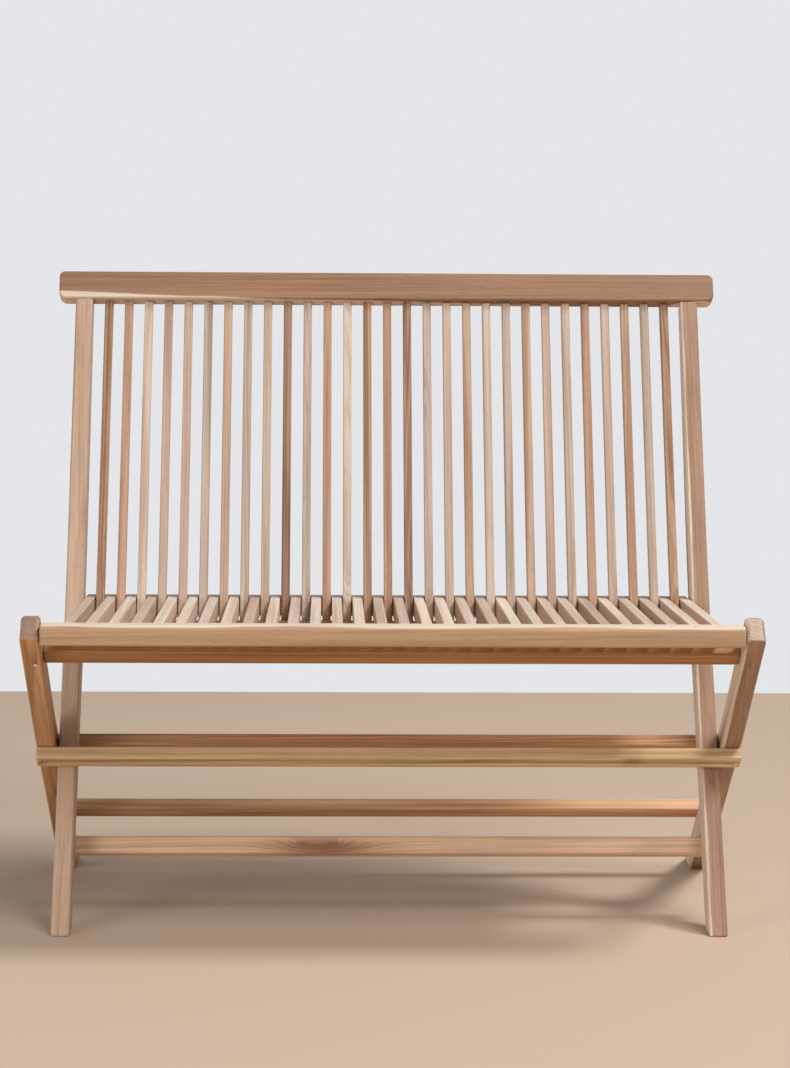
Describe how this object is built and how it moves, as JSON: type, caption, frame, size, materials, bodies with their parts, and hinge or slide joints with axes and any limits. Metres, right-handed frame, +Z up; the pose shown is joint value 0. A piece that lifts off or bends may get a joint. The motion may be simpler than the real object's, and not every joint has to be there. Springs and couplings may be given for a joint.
{
  "type": "folding garden bench",
  "caption": "Folding slatted teak garden bench for two: two frames cross on pivot bolts, and the slatted seat slides up behind the slatted back as it folds flat.",
  "frame": {"origin": "on the floor, at the middle of the bench's box", "axes": "+X across the bench, +Y to its rear, +Z up"},
  "size_m": [0.9772, 0.609, 0.8887],
  "materials": {
    "teak_pale": "bare, finely sanded",
    "teak_tan": "bare, finely sanded",
    "teak_rosy": "bare, finely sanded",
    "teak_grey": "bare, finely sanded",
    "teak_honey": "bare, finely sanded",
    "teak_brown": "bare, finely sanded",
    "black_nylon": "moulded",
    "brass": "turned",
    "steel": "satin"
  },
  "bodies": {
    "back_frame": {"stile_left": "teak_rosy", "stile_right": "teak_tan", "top_rail": "teak_tan", "lower_back_rail": "teak_tan", "front_stretcher": "teak_tan", "back_slat_01": "teak_brown", "back_slat_02": "teak_rosy", "back_slat_03": "teak_pale", "back_slat_04": "teak_tan", "back_slat_05": "teak_grey", "back_slat_06": "teak_pale", "back_slat_07": "teak_rosy", "back_slat_08": "teak_tan", "back_slat_09": "teak_grey", "back_slat_10": "teak_brown", "back_slat_11": "teak_brown", "back_slat_12": "teak_rosy", "back_slat_13": "teak_pale", "back_slat_14": "teak_tan", "back_slat_15": "teak_grey", "back_slat_16": "teak_pale", "back_slat_17": "teak_rosy", "back_slat_18": "teak_tan", "back_slat_19": "teak_grey", "back_slat_20": "teak_brown", "back_slat_21": "teak_brown", "back_slat_22": "teak_rosy", "back_slat_23": "teak_pale", "back_slat_24": "teak_tan", "back_slat_25": "teak_grey", "back_slat_26": "teak_pale", "back_slat_27": "teak_rosy", "back_slat_28": "teak_tan", "back_slat_29": "teak_grey", "pivot_bolt_left": "steel", "pivot_bolt_right": "steel", "pivot_washer_left": "black_nylon", "pivot_washer_right": "black_nylon", "pivot_insert_left": "brass", "pivot_insert_right": "brass"},
    "leg_frame": {"leg_left": "teak_honey", "leg_right": "teak_grey", "leg_top_rail": "teak_honey", "stop_bar": "teak_pale", "rear_stop_bar": "teak_brown", "rear_stretcher": "teak_rosy", "seat_pin_left": "steel", "seat_pin_right": "steel", "stop_bar_plug_left": "teak_brown", "stop_bar_plug_right": "teak_brown", "leg_plug_left": "teak_pale", "leg_plug_right": "teak_pale"},
    "seat": {"seat_front_rail": "teak_pale", "seat_grille": "teak_pale"}
  },
  "joints": [
    {"name": "leg_fold", "type": "hinge", "parent": "back_frame", "child": "leg_frame", "pos_m": [0, -0.04269, 0.23049], "axis": [-1, 0, 0], "range_deg": [0, 72]},
    {"name": "seat_hinge", "type": "hinge", "parent": "leg_frame", "child": "seat", "pos_m": [0, -0.28625, 0.42135], "axis": [1, 0, 0], "range_deg": [0, 125.3]}
  ],
  "couplings": [
    {"joint": "seat_hinge", "follows": "leg_fold", "ratio": 1.74}
  ]
}
